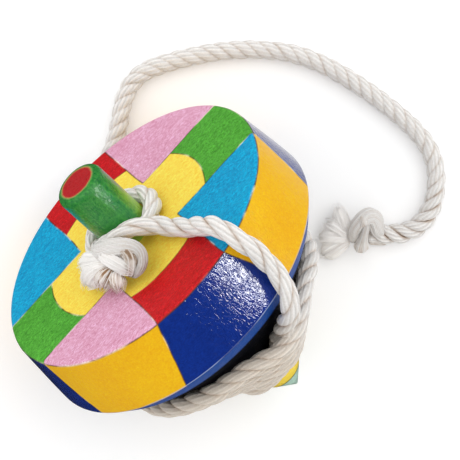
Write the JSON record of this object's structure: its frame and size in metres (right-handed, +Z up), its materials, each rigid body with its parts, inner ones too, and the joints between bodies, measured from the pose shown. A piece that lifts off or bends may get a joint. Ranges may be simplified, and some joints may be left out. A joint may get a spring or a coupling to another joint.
{
  "type": "spinning top",
  "caption": "Painted wooden throwing top on its side, with a dowel spindle and a cotton rope hooked on, wound round the underside and ending in a knot.",
  "frame": {"origin": "on the table, at the middle of the footprint of the box round the disc and spindle", "axes": "+Z up from the table; the spin axis lies in the XZ plane, its dowel end towards -X and leaning 30 degrees up; +Y along the disc's widest extent, towards the free rope"},
  "size_m": [0.0796, 0.1021, 0.0751],
  "materials": {
    "paint": "glossy brushed lacquer, colour blocks in a cross and ring",
    "spindle_paint": "glossy brushed lacquer, red top end and pale green point",
    "rope": "three-strand laid cotton, fuzzy"
  },
  "bodies": {
    "rope": {"rope_hook_loop": "rope", "rope_hook_knot": "rope", "rope_hook_tuft": "rope", "rope_face_run": "rope", "rope_down_run": "rope", "rope_winding": "rope", "rope_free_run": "rope", "rope_end_knot": "rope", "rope_end_tuft": "rope"},
    "top": {"disc": "paint", "spindle": "spindle_paint"}
  },
  "joints": [
    {"name": "top_spin", "type": "hinge", "parent": "rope", "child": "top", "pos_m": [-0.01739, 0, 0.04086], "axis": [-0.866, 0, 0.5], "continuous": true}
  ]
}
